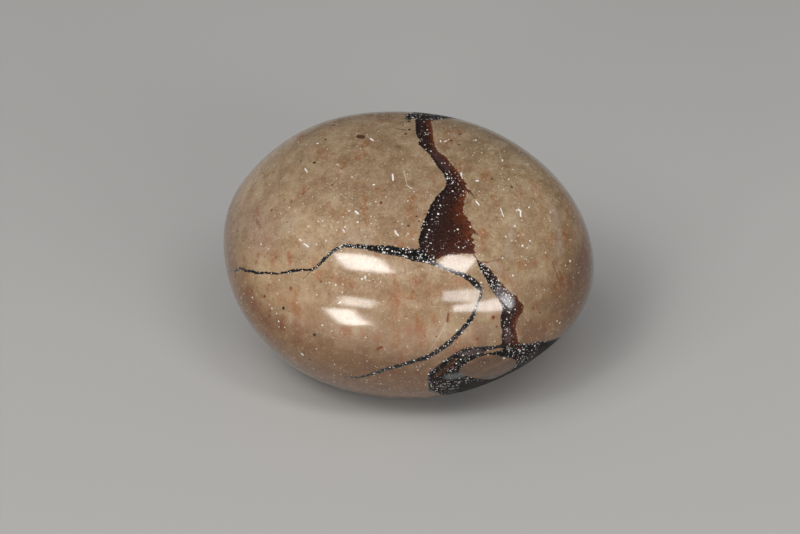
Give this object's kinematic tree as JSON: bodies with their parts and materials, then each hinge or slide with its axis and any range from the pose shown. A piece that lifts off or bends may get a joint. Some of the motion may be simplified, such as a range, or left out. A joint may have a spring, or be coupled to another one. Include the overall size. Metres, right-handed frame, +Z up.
{
  "type": "septarian nodule",
  "caption": "Tumbled and polished septarian stone: a rounded, softly faceted tan pebble with dark brown and black veins, resting on a small flat spot.",
  "frame": {"origin": "on the plane of the small flat spot that the stone rests on, under the middle of its outline seen from above", "axes": "+X along the stone's length, +Z up from the flat spot, the crossing of the veins faces -Y"},
  "size_m": [0.0382, 0.0306, 0.0253],
  "materials": {
    "polished_stone": "tumbled and polished limestone, tan and beige with dark calcite and siderite veins"
  },
  "bodies": {
    "root": {"nodule": "polished_stone"}
  },
  "joints": []
}
